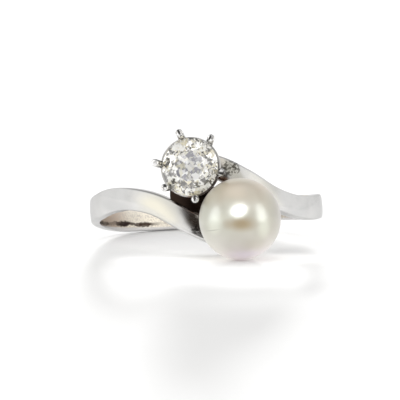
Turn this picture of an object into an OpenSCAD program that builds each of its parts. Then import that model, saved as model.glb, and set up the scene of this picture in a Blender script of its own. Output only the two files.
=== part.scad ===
// Crossover ring: two swept arms carry an old-cut diamond in six claws and a round pearl on a cup.
// Millimetres and degrees. The ring is drawn with the finger axis along Z and its head at -Y, then
// laid on its side as it rests on a table: on the pearl and the back of the band.

/* [Band] */
// Inside diameter of the finger hole
finger_d = 17; // [16.6:0.1:17.4]
// Width across the back and the sides
back_w = 1.95; // [1.8:0.05:2.1]
// Width of each arm where it reaches the head
arm_w = 1.75; // [1.6:0.05:1.9]
// Thickness at the back and the sides
back_t = 0.75; // [0.7:0.05:0.9]
// Thickness where the arms reach the head
head_t = 0.95; // [0.9:0.05:1]
// How far each arm swings along the finger at the head
sweep = 2.65; // [2.5:0.05:2.75]
// Radius of the outer edges
edge_r = 0.2; // [0.12:0.01:0.24]
// How far the middle of the outer face stands above its edges
dome = 0.05; // [0.02:0.01:0.08]

/* [Diamond] */
// Longer diameter at the girdle
stone_l = 4.5; // [4.4:0.05:4.55]
// Shorter diameter at the girdle
stone_w = 4.3; // [4.2:0.05:4.4]
// Height of the crown above the girdle
crown_h = 0.72; // [0.6:0.01:0.8]
// Depth of the pavilion below the girdle
pavilion_h = 1.9; // [1.7:0.05:2]
// Thickness of the girdle
girdle_t = 0.12; // [0.1:0.01:0.16]
// Distance of the girdle from the finger axis
girdle_r = 12.3; // [12.2:0.05:12.5]

/* [Claw setting] */
// Diameter of a claw at its foot
claw_d = 0.6; // [0.55:0.01:0.62]
// Diameter of a claw at its cut end
claw_end_d = 0.59; // [0.48:0.01:0.59]
// How far the claws stand above the girdle
claw_above = 1.15; // [1:0.05:1.25]
// Wall of the collet
collet_wall = 0.36; // [0.3:0.01:0.42]
// Diameter of each window through the collet
window_d = 0.9; // [0.7:0.05:0.95]

/* [Pearl] */
// Diameter of the pearl
pearl_d = 6.3; // [6.1:0.05:6.4]
// Diameter of the peg that the pearl is glued on
peg_d = 0.8; // [0.7:0.05:1]
// Depth of the peg in the pearl
peg_in = 2.4; // [1.5:0.1:2.6]
// Wall of the cup under the pearl
cup_wall = 0.3; // [0.25:0.01:0.35]
// Diameter of the cup's rim
cup_d = 3; // [2.6:0.1:3.2]
// Clearance between the metal and each stone
gap = 0.05; // [0.03:0.01:0.07]

/* [Hidden] */
$fn = 48;
BORE_FN = 180;
PEARL_FN = 72;

finger_r = finger_d / 2;
head_r = finger_r + head_t;
pearl_r = pearl_d / 2;
cup_r = pearl_r + gap + cup_wall;

// How the ring lies on the table: its tilts, then the place of the finger axis's middle
lie_pitch = -10.3;
lie_roll = -2.2;
lie_at = [0, 3.43, 2.61];

// Where each stone sits: angle from the middle of the head, and height along the finger
diamond_turn = -9.6;
diamond_up = 2.44;
pearl_turn = 6.6;
pearl_up = -1.83;

// How deep the cup and the feet of the settings are sunk into the arms
cup_sink = 0.08;
foot_sink = 0.3;
pearl_out = head_r - cup_sink + cup_r;

// One row for each 15 degrees from the back of the band to past the head. The columns are the angle,
// the arm's swing as a share of the sweep, its width from 0 at back_w to 1 at arm_w, and its
// thickness from 0 at back_t to 1 at head_t.
ROW_STEP = 15;
SWING = 1;
WIDTH = 2;
THICKNESS = 3;
arm_rows = [
    [0, 0, 0, 0],
    [15, 0, 0, 0],
    [30, 0.02, 0, 0],
    [45, 0.045, 0, 0],
    [60, -0.01, -0.2, 0],
    [75, -0.065, 0, 0],
    [90, -0.12, 0.2, 0.1],
    [105, -0.18, 0, 0.3],
    [120, -0.265, 0.2, 0.55],
    [135, -0.23, 1, 0.8],
    [150, 0.02, 1, 1],
    [165, 0.54, 0.6, 1],
    [180, 1, 1, 1],
    [195, 1.045, 1, 1]
];
arm_end = 194;
band_steps = 120;
root_depth = 0.4;

// Length of the cutters that run right through the ring, and the widest reach of the claws
through = 20;
coronet_r = 4;

// The claws, set by hand as on the ring: direction round the diamond and reach of the cut end
claws = [[48, 2.86], [103, 2.77], [171, 2.78], [218, 2.6], [277, 2.71], [345, 2.62]];
knee_r = 2.28;
knee_up = -0.5;
cut_spare = 0.4;

// The collet's section, measured from the diamond's axis and girdle
collet_foot = head_r - foot_sink - girdle_r;
collet_foot_r = 1.3;
collet_waist_r = 1.4;
collet_waist = 0.7;
collet_top_r = 2.36;
collet_top = -0.22;
flute_r = 0.55;
flute_at = 2.72;
window_rise = 1.05;

// The plate that ties the two arms together under the diamond
bridge_r = 1.75;
bridge_t = 0.64;
bridge_turn = -11.3;
bridge_up = 0.6;

// The diamond's facets: radii as shares of the girdle's, and its long axis from the x direction
table_share = 0.54;
star_share = 0.76;
lower_share = 0.5;
culet_share = 0.07;
stone_axis = 78;

function arm_row(i) =
    i < 0 ? [arm_rows[-i][0], -arm_rows[-i][SWING], arm_rows[-i][WIDTH], arm_rows[-i][THICKNESS]]
    : arm_rows[min(i, len(arm_rows) - 1)];

// A smooth curve through b and c, steered by a and d
function between(a, b, c, d, u) =
    b + u / 2 * (c - a + u * (2 * a - 5 * b + 4 * c - d + u * (3 * (b - c) + d - a)));

// The table read at any angle from the back
function arm_at(angle) =
    let (m = abs(angle) / ROW_STEP, i = floor(m))
    between(arm_row(i - 1), arm_row(i), arm_row(i + 1), arm_row(i + 2), m - i);

function swing_at(angle) = sign(angle) * sweep * arm_at(angle)[SWING];

// The slope of the arm against the plane of the ring
function slant_at(angle) =
    atan((swing_at(angle + 1) - swing_at(angle - 1)) / (2 * PI / 180 * (finger_r + head_t / 2)));

// The band's section as points of [across, distance from the finger axis]
function section(width, top) =
    let (
        flat = width / 2 - edge_r,
        corner = [for (t = [0:30:90]) [flat + edge_r * cos(t), top - dome - edge_r * (1 - sin(t))]],
        face = [for (s = [0.5, 0, -0.5]) [s * flat, top - dome * s * s]]
    )
    concat(
        [[width / 2, finger_r - root_depth]],
        corner,
        face,
        [for (i = [3:-1:0]) [-corner[i][0], corner[i][1]]],
        [[-width / 2, finger_r - root_depth]]
    );

// The section's points set across the arm at one angle from the back
function arm_ring(angle) =
    let (
        row = arm_at(angle),
        slant = slant_at(angle),
        width = back_w + row[WIDTH] * (arm_w - back_w),
        top = finger_r + back_t + row[THICKNESS] * (head_t - back_t)
    )
    [for (p = section(width, top)) [
        p[1] * sin(angle) - p[0] * sin(slant) * cos(angle),
        p[1] * cos(angle) + p[0] * sin(slant) * sin(angle),
        swing_at(angle) + p[0] * cos(slant)
    ]];

// A closed solid through a list of rings with the same number of points
module skin(rings) {
    n = len(rings[0]);
    last = len(rings) - 1;
    sides = [
        for (i = [0:last - 1], j = [0:n - 1])
            let (k = (j + 1) % n, a = i * n, b = (i + 1) * n)
            each [[a + j, b + k, b + j], [a + j, a + k, b + k]]
    ];
    caps = [[for (j = [n - 1:-1:0]) j], [for (j = [0:n - 1]) last * n + j]];
    polyhedron(points = [for (ring = rings, p = ring) p], faces = concat(sides, caps));
}

module arms() {
    skin([for (i = [0:band_steps]) arm_ring(arm_end * (2 * i / band_steps - 1))]);
}

// Children drawn looking out from the head: x to the right, y along the finger, z away from it
module on_head(turn, up) {
    rotate([0, 0, turn]) translate([0, 0, up]) rotate([90, 0, 0]) children();
}

module on_diamond() {
    on_head(diamond_turn, diamond_up) translate([0, 0, girdle_r]) children();
}

module on_pearl() {
    on_head(pearl_turn, pearl_up) translate([0, 0, pearl_out]) children();
}

module finger_hole() {
    cylinder(r = finger_r, h = through, center = true, $fn = BORE_FN);
}

module bridge() {
    intersection() {
        cylinder(r = finger_r + bridge_t, h = through, center = true, $fn = BORE_FN);
        on_head(bridge_turn, bridge_up) cylinder(r = bridge_r, h = head_r);
    }
}

// The room that the diamond needs, drawn round so that it turns freely in its claws
module stone_room() {
    r = stone_l / 2 + gap;
    half = girdle_t / 2 + gap;
    rotate_extrude() polygon([
        [0, -pavilion_h - half],
        [culet_share * r, -pavilion_h - half],
        [r, -half],
        [r, half],
        [table_share * r, crown_h + half],
        [0, crown_h + half]
    ]);
}

// A round bar between two points of [distance from the setting's axis, height]
module bar(from, to, d1, d2) {
    run = to - from;
    translate([from[0], 0, from[1]])
        rotate([0, atan2(run[0], run[1]), 0])
        cylinder(d1 = d1, d2 = d2, h = norm(run));
}

// One claw: up the collet's flank to a knee, then out past the girdle
module claw(reach) {
    knee = [knee_r, knee_up];
    bar([collet_foot_r - claw_d / 4, collet_foot], knee, claw_d, claw_d);
    translate([knee[0], 0, knee[1]]) sphere(d = claw_d);
    bar(knee, [reach, claw_above + cut_spare], claw_d, claw_end_d);
}

// The cone under the stone, fluted at each claw and pierced between them
module collet() {
    difference() {
        rotate_extrude() polygon([
            [collet_foot_r - collet_wall, collet_foot],
            [collet_foot_r, collet_foot],
            [collet_waist_r, collet_foot + collet_waist],
            [collet_top_r, collet_top],
            [collet_top_r - collet_wall, collet_top],
            [collet_foot_r - collet_wall, collet_foot + collet_waist]
        ]);
        for (c = claws)
            rotate([0, 0, c[0]])
            translate([flute_at, 0, collet_foot])
            cylinder(r = flute_r, h = -collet_foot);
        for (i = [0:len(claws) - 1])
            let (next = i < len(claws) - 1 ? claws[i + 1][0] : claws[0][0] + 360)
            rotate([0, 0, (claws[i][0] + next) / 2])
            translate([0, 0, collet_foot + window_rise])
            rotate([0, 90, 0])
            cylinder(d = window_d, h = coronet_r);
    }
}

module coronet() {
    difference() {
        intersection() {
            union() {
                collet();
                for (c = claws) rotate([0, 0, c[0]]) claw(c[1]);
            }
            translate([0, 0, -girdle_r]) cylinder(r = coronet_r, h = girdle_r + claw_above);
        }
        stone_room();
    }
}

// The dish and the peg that carry the pearl
module pearl_cup() {
    difference() {
        intersection() {
            sphere(r = cup_r);
            translate([0, 0, -cup_r]) cylinder(d = cup_d, h = cup_r);
        }
        sphere(r = pearl_r + gap);
    }
    foot = cup_sink - foot_sink - cup_r;
    translate([0, 0, foot]) cylinder(d = peg_d, h = peg_in - pearl_r - foot);
}

module band_and_settings() {
    color([0.84, 0.84, 0.83]) laid_down() difference() {
        union() {
            arms();
            bridge();
            on_diamond() coronet();
            on_pearl() pearl_cup();
        }
        finger_hole();
    }
}

function ring_point(share, angle, z) = [share * cos(angle), share * sin(angle), z];

// Height at x of a straight line between two points of [x, height]
function on_line(x, a, b) = a[1] + (x - a[0]) / (b[0] - a[0]) * (b[1] - a[1]);

// An old European cut: octagonal table, 8 stars, 8 bezels, 16 upper and 16 lower halves, 8 mains and
// an open culet. Built at unit radius, then stretched to the oval of the girdle.
module stone() {
    half = girdle_t / 2;
    top = half + crown_h;
    low = -half - pavilion_h;
    lean = cos(22.5);
    star_z = on_line(star_share * lean, [1, half], [table_share, top]);
    lower_z = on_line(lower_share * lean, [1, -half], [culet_share * lean, low]);
    // The halves cut the girdle into scallops: their height midway between two girdle corners
    scallop = function (share, z, edge)
        let (chord = cos(11.25), inner = share * cos(11.25))
        edge + (1 - chord) / (chord - inner) * (edge - z);
    upper_z = scallop(star_share, star_z, half);
    under_z = scallop(lower_share, lower_z, -half);
    table = [for (k = [0:7]) ring_point(table_share, 45 * k, top)];
    star = [for (k = [0:7]) ring_point(star_share, 45 * k + 22.5, star_z)];
    upper = [for (k = [0:31]) ring_point(1, 11.25 * k, k % 2 == 0 ? half : upper_z)];
    under = [for (k = [0:31]) ring_point(1, 11.25 * k, k % 2 == 0 ? -half : under_z)];
    lower = [for (k = [0:7]) ring_point(lower_share, 45 * k + 22.5, lower_z)];
    culet = [for (k = [0:7]) ring_point(culet_share, 45 * k + 22.5, low)];
    // Where each ring of points starts in the list
    S = 8;
    U = 16;
    D = 48;
    L = 80;
    C = 88;
    crown = [for (k = [0:7]) let (n = (k + 1) % 8, g = 4 * k, h = (4 * k + 4) % 32) each [
        [k, n, S + k],
        [k, S + k, U + g, S + (k + 7) % 8],
        [S + k, U + g + 2, U + g + 1, U + g],
        [S + k, U + h, U + g + 3, U + g + 2]
    ]];
    girdle = [for (k = [0:31]) let (n = (k + 1) % 32) [U + k, U + n, D + n, D + k]];
    pavilion = [for (k = [0:7]) let (p = (k + 7) % 8, g = 4 * k, h = (4 * k + 4) % 32) each [
        [D + g, L + k, C + k, C + p, L + p],
        [L + k, D + g, D + g + 1, D + g + 2],
        [L + k, D + g + 2, D + g + 3, D + h]
    ]];
    ends = [[for (k = [7:-1:0]) k], [for (k = [0:7]) C + k]];
    rotate([0, 0, stone_axis]) scale([stone_l / 2, stone_w / 2, 1])
        polyhedron(
            points = concat(table, star, upper, under, lower, culet),
            faces = concat(ends, crown, girdle, pavilion)
        );
}

module diamond() {
    color([0.93, 0.93, 0.9]) laid_down() on_diamond() stone();
}

module pearl() {
    color([0.9, 0.87, 0.8]) laid_down() on_pearl() difference() {
        sphere(r = pearl_r, $fn = PEARL_FN);
        translate([0, 0, -pearl_d]) cylinder(d = peg_d + 2 * gap, h = pearl_r + peg_in + gap);
    }
}

// The ring is tipped onto the pearl and the back of its band
module laid_down() {
    translate(lie_at) rotate([lie_pitch, lie_roll, 0]) children();
}

band_and_settings();
diamond();
pearl();
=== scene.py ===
"""Looks, light and camera for a crossover ring that carries a diamond and a pearl.

Shapes are worked out in millimetres in the ring's own axes, as a goldsmith would draw it: the
finger axis along Z, the head at -Y and X to the right. Each finished piece is then laid on the
table.
"""

import logging
import math
from dataclasses import dataclass, field
from enum import Enum
from typing import Sequence

import bmesh
import bpy
import numpy as np
from mathutils import Matrix, Vector


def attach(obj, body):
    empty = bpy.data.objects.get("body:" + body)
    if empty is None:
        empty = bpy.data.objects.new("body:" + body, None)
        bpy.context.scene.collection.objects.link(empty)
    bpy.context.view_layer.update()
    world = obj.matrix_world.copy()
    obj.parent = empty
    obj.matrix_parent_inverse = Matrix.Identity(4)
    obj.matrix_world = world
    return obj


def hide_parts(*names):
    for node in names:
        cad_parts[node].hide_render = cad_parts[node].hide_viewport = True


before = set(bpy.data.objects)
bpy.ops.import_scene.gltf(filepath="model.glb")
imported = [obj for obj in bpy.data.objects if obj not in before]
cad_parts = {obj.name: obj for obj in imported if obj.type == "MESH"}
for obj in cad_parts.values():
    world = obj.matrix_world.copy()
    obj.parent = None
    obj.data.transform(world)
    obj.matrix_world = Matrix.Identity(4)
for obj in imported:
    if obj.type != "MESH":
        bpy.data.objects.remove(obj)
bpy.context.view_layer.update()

LOG = logging.getLogger("ring")
MM = 0.001
ROUND_STEPS = 5
TOUCH = 1e-6
Piece, Material = bpy.types.Object, bpy.types.Material
Socket, Outputs = bpy.types.NodeSocket, bpy.types.NodeOutputs
Colour = tuple[float, float, float]
Place = tuple[float, float, float]
# a noise's scale, octaves and seed
Cloud = tuple[float, float, float]
# where something comes or goes, and its shares at both ends
Fade = tuple[float, float, float, float]


def metres(lengths: Sequence[float]) -> list[float]:
    """Turns millimetres into metres."""
    return [v * MM for v in lengths]


class Slot(Enum):
    """The record's material slots."""

    WHITE_GOLD = "white_gold"
    DIAMOND = "diamond"
    PEARL = "pearl"


class Node(Enum):
    """The frame's nodes."""

    METAL = "band_and_settings"
    DIAMOND = "diamond"
    PEARL = "pearl"


@dataclass(frozen=True)
class RestPose:
    """How the ring lies on the table, on its pearl and the back of its band.

    pitch and roll are in degrees, and at is the middle of the finger axis in millimetres.
    """

    pitch: float = -10.3
    roll: float = -2.2
    at: Place = (0.0, 3.43, 2.61)

    def turn(self) -> np.ndarray:
        """Gives the rotation from the ring's axes to the table's.

        Returns:
            A 3 by 3 matrix.
        """
        p, r = math.radians(self.pitch), math.radians(self.roll)
        (cp, sp), (cr, sr) = ((math.cos(v), math.sin(v)) for v in (p, r))
        about_x = np.array([[1, 0, 0], [0, cp, -sp], [0, sp, cp]])
        about_y = np.array([[cr, 0, sr], [0, 1, 0], [-sr, 0, cr]])
        return about_y @ about_x

    def lay(self, piece: Piece) -> None:
        """Lays a finished piece down on the table.

        Args:
            piece: A mesh object drawn in the ring's axes, in millimetres.
        """
        matrix = Matrix(self.turn().tolist()).to_4x4()
        matrix.translation = Vector(self.at)
        piece.data.transform(Matrix.Scale(MM, 4) @ matrix)


POSE = RestPose()


@dataclass(frozen=True)
class HeadPlace:
    """Where a setting stands on the head.

    turn is the angle from the middle of the head in degrees, up the height along the finger and out
    the distance from the finger axis, in millimetres.
    """

    turn: float
    up: float
    out: float

    def matrix(self) -> Matrix:
        """Gives the move from the setting's axes to the ring's.

        Returns:
            A matrix for points with x to the right, y along the finger and z outwards.
        """
        stand = Matrix.Rotation(math.radians(90), 4, "X")
        lift, reach = (Matrix.Translation((0, 0, v)) for v in (self.up, self.out))
        return Matrix.Rotation(math.radians(self.turn), 4, "Z") @ lift @ stand @ reach


DIAMOND_PLACE = HeadPlace(-9.6, 2.44, 12.3)
PEARL_PLACE = HeadPlace(6.6, -1.83, 12.87)
BRIDGE_PLACE = HeadPlace(-11.3, 0.6, 0.0)


# Mesh helpers


def add_mesh(name: str, points: Sequence, faces: Sequence) -> Piece:
    """Makes a mesh object with its faces turned outwards.

    Args:
        name: The object's name.
        points: Its points.
        faces: Its faces, as lists of point numbers.

    Returns:
        The new object, linked to the scene.
    """
    mesh = bpy.data.meshes.new(name)
    corners = [tuple(map(float, p)) for p in points]
    mesh.from_pydata(corners, [], [list(map(int, f)) for f in faces])
    work = bmesh.new()
    work.from_mesh(mesh)
    bmesh.ops.remove_doubles(work, verts=work.verts, dist=TOUCH)
    bmesh.ops.recalc_face_normals(work, faces=work.faces)
    work.to_mesh(mesh)
    work.free()
    piece = bpy.data.objects.new(name, mesh)
    bpy.context.scene.collection.objects.link(piece)
    return piece


def loft(name: str, rings: np.ndarray) -> Piece:
    """Skins a row of closed rings and caps its ends.

    Args:
        name: The object's name.
        rings: Points as rings by points by 3.

    Returns:
        The new object.
    """
    count, size = rings.shape[:2]
    faces = [
        (here + j, there + j, there + (j + 1) % size, here + (j + 1) % size)
        for here, there in ((i * size, (i + 1) * size) for i in range(count - 1))
        for j in range(size)
    ]
    faces += [tuple(range(size)), tuple(range((count - 1) * size, count * size))]
    return add_mesh(name, rings.reshape(-1, 3), faces)


def lathe(name: str, profile: Sequence[tuple[float, float]], steps: int) -> Piece:
    """Turns a closed profile about the Z axis.

    Args:
        name: The object's name.
        profile: Points of radius and height, in order round the profile.
        steps: How many stations the turn has.

    Returns:
        The new object.
    """
    flat = np.array(profile, float)
    angles = np.linspace(0, 2 * math.pi, steps, endpoint=False)
    x, y = (np.outer(turn(angles), flat[:, 0]) for turn in (np.cos, np.sin))
    rings = np.stack([x, y, np.tile(flat[:, 1], (steps, 1))], axis=2)
    size = len(flat)
    on_axis = flat[:, 0] < TOUCH
    faces = []
    for i in range(steps):
        here, there = i * size, (i + 1) % steps * size
        for j in range(size):
            k = (j + 1) % size
            if on_axis[j] and on_axis[k]:
                continue
            face = [here + j, there + j, there + k, here + k]
            if on_axis[j]:
                face = [here + j, there + k, here + k]
            elif on_axis[k]:
                face = [here + j, there + j, there + k]
            faces.append(face)
    return add_mesh(name, rings.reshape(-1, 3), faces)


def rounded(corners: Sequence[tuple[float, float, float]]) -> list[tuple[float, float]]:
    """Rounds the corners of a closed flat outline.

    Args:
        corners: Each corner as x, y and the radius that rounds it.

    Returns:
        The outline's points.
    """
    outline: list[tuple[float, float]] = []
    count = len(corners)
    for i, (x, y, radius) in enumerate(corners):
        here = np.array([x, y])
        if radius <= 0:
            outline.append((x, y))
            continue
        before = np.array(corners[i - 1][:2]) - here
        after = np.array(corners[(i + 1) % count][:2]) - here
        before, after = before / np.linalg.norm(before), after / np.linalg.norm(after)
        half = math.acos(float(np.clip(before @ after, -1, 1))) / 2
        reach = radius / math.tan(half)
        start, end = here + before * reach, here + after * reach
        centre = here + (before + after) / np.linalg.norm(before + after) * radius / math.sin(half)
        for u in np.linspace(0, 1, ROUND_STEPS + 1):
            spoke = start * (1 - u) + end * u - centre
            outline.append(tuple(centre + spoke / np.linalg.norm(spoke) * radius))
    return outline


def cut(body: Piece, cutters: Sequence[Piece]) -> None:
    """Cuts shapes out of a body and throws the cutters away.

    Args:
        body: The object that is cut.
        cutters: The closed shapes that are taken out of it.
    """
    for cutter in cutters:
        step = body.modifiers.new("cut", "BOOLEAN")
        step.operation, step.solver, step.object = "DIFFERENCE", "EXACT", cutter
    solved = body.evaluated_get(bpy.context.evaluated_depsgraph_get())
    done = bpy.data.meshes.new_from_object(solved)
    body.modifiers.clear()
    before, body.data = body.data, done
    done.name = body.name
    bpy.data.meshes.remove(before)
    for cutter in cutters:
        mesh = cutter.data
        bpy.data.objects.remove(cutter)
        bpy.data.meshes.remove(mesh)


def join(name: str, pieces: Sequence[Piece]) -> Piece:
    """Puts several pieces into one object.

    Args:
        name: The new object's name.
        pieces: The pieces, which are used up.

    Returns:
        The joined object.
    """
    work = bmesh.new()
    for piece in pieces:
        work.from_mesh(piece.data)
    mesh = bpy.data.meshes.new(name)
    work.to_mesh(mesh)
    work.free()
    for piece in pieces:
        old = piece.data
        bpy.data.objects.remove(piece)
        bpy.data.meshes.remove(old)
    whole = bpy.data.objects.new(name, mesh)
    bpy.context.scene.collection.objects.link(whole)
    return whole


def finish_piece(
    piece: Piece,
    finish: Material,
    node: Node = Node.METAL,
    sharp: float = 35.0,
) -> None:
    """Shades a piece, lays it on the table and fixes it to the frame.

    Args:
        piece: The piece, drawn in the ring's axes in millimetres.
        finish: Its material.
        node: The frame's node that it stands for.
        sharp: Edges that turn by more than this many degrees stay sharp.
    """
    mesh = piece.data
    mesh.shade_smooth()
    mesh.set_sharp_from_angle(angle=math.radians(sharp))
    mesh.materials.clear()
    mesh.materials.append(finish)
    POSE.lay(piece)
    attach(piece, "root")
    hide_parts(node.value)
    LOG.info("%s: %d faces", piece.name, len(mesh.polygons))


# Finishes

FLOAT, VECTOR = "NodeSocketFloat", "NodeSocketVector"
LENGTHS = ("LENGTH", "DISTANCE", "DOT_PRODUCT")
GOLD_RIM = (0.75, 0.75, 0.75)


class Wiring:
    """Adds linked nodes to a material, a group or the world."""

    def __init__(self, tree: bpy.types.NodeTree) -> None:
        """Takes the node tree that is wired."""
        self.tree = tree

    def feed(self, socket: Socket, value: object) -> None:
        """Links an input to another socket, or sets its value.

        Args:
            socket: The input.
            value: An output socket, a number, a vector or a colour.
        """
        if isinstance(value, Socket):
            self.tree.links.new(value, socket)
        elif socket.type == "RGBA":
            socket.default_value = (*value, 1)
        else:
            socket.default_value = value

    def add(self, kind: str, inputs: dict[str | int, object], **settings: object) -> bpy.types.Node:
        """Adds a node.

        Args:
            kind: Its type, without the leading ShaderNode.
            inputs: What its inputs are fed, by name or number.
            settings: Its other settings.

        Returns:
            The new node.
        """
        node = self.tree.nodes.new("ShaderNode" + kind)
        for name, setting in settings.items():
            setattr(node, name, setting)
        for key, value in inputs.items():
            self.feed(node.inputs[key], value)
        return node

    def number(self, operation: str, *values: object) -> Socket:
        """Works a number out of sockets and numbers."""
        return self.add("Math", dict(enumerate(values)), operation=operation).outputs["Value"]

    def vector(self, operation: str, *values: object) -> Socket:
        """Works a vector, or a length where the operation gives one, out of sockets and vectors."""
        node = self.add("VectorMath", dict(enumerate(values)), operation=operation)
        return node.outputs["Value" if operation in LENGTHS else "Vector"]

    def scale(self, vector: Socket, factor: Socket) -> Socket:
        """Multiplies a vector by a number."""
        inputs = {"Vector": vector, "Scale": factor}
        return self.add("VectorMath", inputs, operation="SCALE").outputs["Vector"]

    def split(self, vector: Socket) -> Outputs:
        """Splits a vector into its X, Y and Z."""
        return self.add("SeparateXYZ", {"Vector": vector}).outputs

    def map(self, vector: Socket, kind: str = "POINT", **moves: object) -> Socket:
        """Moves, turns or scales a place.

        Args:
            vector: The place.
            kind: The order in which the moves are made.
            moves: The Location, Rotation and Scale.

        Returns:
            The moved place.
        """
        return self.add("Mapping", {"Vector": vector, **moves}, vector_type=kind).outputs["Vector"]

    def place(self) -> Socket:
        """Gives the place on the ring as it lies on the table, in metres."""
        return self.add("TexCoord", {}).outputs["Object"]

    def ring_place(self) -> Socket:
        """Gives the place in the ring's own axes, in metres."""
        turn = (math.radians(POSE.pitch), math.radians(POSE.roll), 0)
        return self.map(self.place(), "TEXTURE", Location=metres(POSE.at), Rotation=turn)

    def noise(
        self, where: Socket, scale: object, detail: float = 2.0, seed: object = 0.0
    ) -> Socket:
        """Adds a four-dimensional noise.

        Args:
            where: The place.
            scale: The noise's scale.
            detail: Its octaves.
            seed: Its place in the fourth dimension.

        Returns:
            The noise's value, from 0 to 1.
        """
        inputs = {"Vector": where, "Scale": scale, "Detail": detail, "W": seed}
        return self.add("TexNoise", inputs, noise_dimensions="4D").outputs["Fac"]

    def spread(
        self, value: Socket, start: object, end: object, low: object = 0.0, high: object = 1.0
    ) -> Socket:
        """Maps a range of a value smoothly onto another range.

        Args:
            value: The value that is mapped.
            start: Where the range starts.
            end: Where the range ends.
            low: What the start becomes.
            high: What the end becomes.

        Returns:
            The mapped value.
        """
        inputs = {"Value": value, "From Min": start, "From Max": end, "To Min": low, "To Max": high}
        return self.add("MapRange", inputs, interpolation_type="SMOOTHSTEP").outputs["Result"]

    def fade(self, length: Socket, start: float, end: float, low: float, high: float) -> Socket:
        """Maps a range of a length, given in millimetres, smoothly onto shares.

        Args:
            length: The length that is mapped, in metres.
            start: Where the range starts.
            end: Where the range ends.
            low: The share at the start.
            high: The share at the end.

        Returns:
            The share.
        """
        return self.spread(length, start * MM, end * MM, low, high)

    def blend(self, share: Socket, first: object, second: object) -> Socket:
        """Mixes two colours by the second one's share."""
        inputs = {"Factor": share, 6: first, 7: second}
        return self.add("Mix", inputs, data_type="RGBA").outputs[2]

    def grade(self, share: Socket, first: float, second: float) -> Socket:
        """Mixes two numbers by the second one's share."""
        inputs = {"Factor": share, 2: first, 3: second}
        return self.add("Mix", inputs, data_type="FLOAT").outputs[0]

    def bump(self, height: Socket, strength: float, reach: float, sunk: bool = False) -> Socket:
        """Raises or sinks the surface.

        Args:
            height: The height, from 0 to 1.
            strength: How much of it shows.
            reach: The full height in millimetres.
            sunk: Whether it goes down instead of up.

        Returns:
            The surface's new normal.
        """
        inputs = {"Height": height, "Strength": strength, "Distance": reach * MM}
        return self.add("Bump", inputs, invert=sunk).outputs["Normal"]


class Effect:
    """A shader group that finishes share, built once and placed with each one's own values.

    takes and gives hold the kinds of its inputs and outputs by name.
    """

    name: str
    takes: dict[str, str]
    gives: dict[str, str]

    @classmethod
    def wire(cls, tree: Wiring, entry: Outputs) -> dict[str, Socket]:
        """Wires the inside of the group.

        Args:
            tree: The group's wiring.
            entry: What comes into the group.

        Returns:
            What each of its outputs is fed.
        """
        raise NotImplementedError

    @classmethod
    def group(cls) -> bpy.types.NodeTree:
        """Gives the group, and builds it the first time."""
        found = bpy.data.node_groups.get(cls.name)
        if found:
            return found
        group = bpy.data.node_groups.new(cls.name, "ShaderNodeTree")
        for way, sockets in (("INPUT", cls.takes), ("OUTPUT", cls.gives)):
            for name, kind in sockets.items():
                group.interface.new_socket(name, in_out=way, socket_type=kind)
        entry, leave = group.nodes.new("NodeGroupInput"), group.nodes.new("NodeGroupOutput")
        tree = Wiring(group)
        for name, value in cls.wire(tree, entry.outputs).items():
            tree.feed(leave.inputs[name], value)
        return group

    @classmethod
    def add(cls, tree: Wiring, values: dict[str, object]) -> Outputs:
        """Places the group in a finish.

        Args:
            tree: The finish's wiring.
            values: What the group's inputs are fed.

        Returns:
            The group's outputs.
        """
        return tree.add("Group", values, node_tree=cls.group()).outputs


class HandlingMarks(Effect):
    """Hairline scratches and soft smudges left by wear, shared by the metal and the pearl.

    strokes holds each lot of hairlines' turn and fineness, and thin how narrow they come out.
    """

    name = "handling_marks"
    takes = {"Scale": FLOAT, "Seed": FLOAT}
    gives = {"Hairlines": FLOAT, "Smudges": FLOAT}
    strokes = (((0.3, 0.2, 0.5), (9000, 260, 9000)), ((1.1, -0.4, 1.9), (300, 8000, 8000)))
    thin = (0.66, 0.78)
    cloud = (700.0, 3.0)
    cloudy = (0.4, 0.7)

    @classmethod
    def wire(cls, tree: Wiring, entry: Outputs) -> dict[str, Socket]:
        """Wires the inside of the group.

        Args:
            tree: The group's wiring.
            entry: Scale, where 1 suits the band, and Seed, which gives each finish its own marks.

        Returns:
            The Hairlines and the Smudges.
        """
        sized = tree.scale(tree.place(), entry["Scale"])
        lines = []
        for turn, stretch in cls.strokes:
            drawn = tree.map(sized, Rotation=turn, Scale=stretch)
            lines.append(tree.spread(tree.noise(drawn, 1.0, 1.0, entry["Seed"]), *cls.thin))
        cloud = tree.noise(sized, *cls.cloud, entry["Seed"])
        smudges = tree.spread(cloud, *cls.cloudy)
        return {"Hairlines": tree.number("MAXIMUM", *lines), "Smudges": smudges}


class Recess(Effect):
    """Tarnish and painted shade that darken the recess between the two settings.

    fades holds, for the distance from the finger axis, the right and the height along the finger,
    the two places in millimetres between which the tarnish and painted shade come or go, and their
    shares there. ragged is how far its edge strays, by cloud's noise.
    """

    name = "recess_tarnish_and_shade"
    takes = {"Low": FLOAT, "High": FLOAT}
    gives = {"Mask": FLOAT}
    ragged = 1.2
    cloud = (2200.0, 4.0, 11.0)
    fades = ((8.6, 9.0, 0.0, 1.0), (0.2, 0.9, 1.0, 0.0), (1.3, 2.3, 1.0, 0.0))

    @classmethod
    def wire(cls, tree: Wiring, entry: Outputs) -> dict[str, Socket]:
        """Wires the inside of the group.

        Args:
            tree: The group's wiring.
            entry: The distances from the finger axis, in metres, between which the tarnish and
                painted
            shade go from full, Low, to none, High.

        Returns:
            The Mask of the tarnish and painted shade.
        """
        place = tree.ring_place()
        out = tree.vector("LENGTH", tree.vector("MULTIPLY", place, (1, 1, 0)))
        cloud = tree.noise(place, *cls.cloud)
        edge = tree.number("MULTIPLY_ADD", cloud, cls.ragged * MM, out)
        mask = tree.spread(edge, entry["Low"], entry["High"], 1.0, 0.0)
        sides = tree.split(place)
        for length, fade in zip((out, sides["X"], sides["Z"]), cls.fades):
            mask = tree.number("MULTIPLY", mask, tree.fade(length, *fade))
        return {"Mask": mask}


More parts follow.
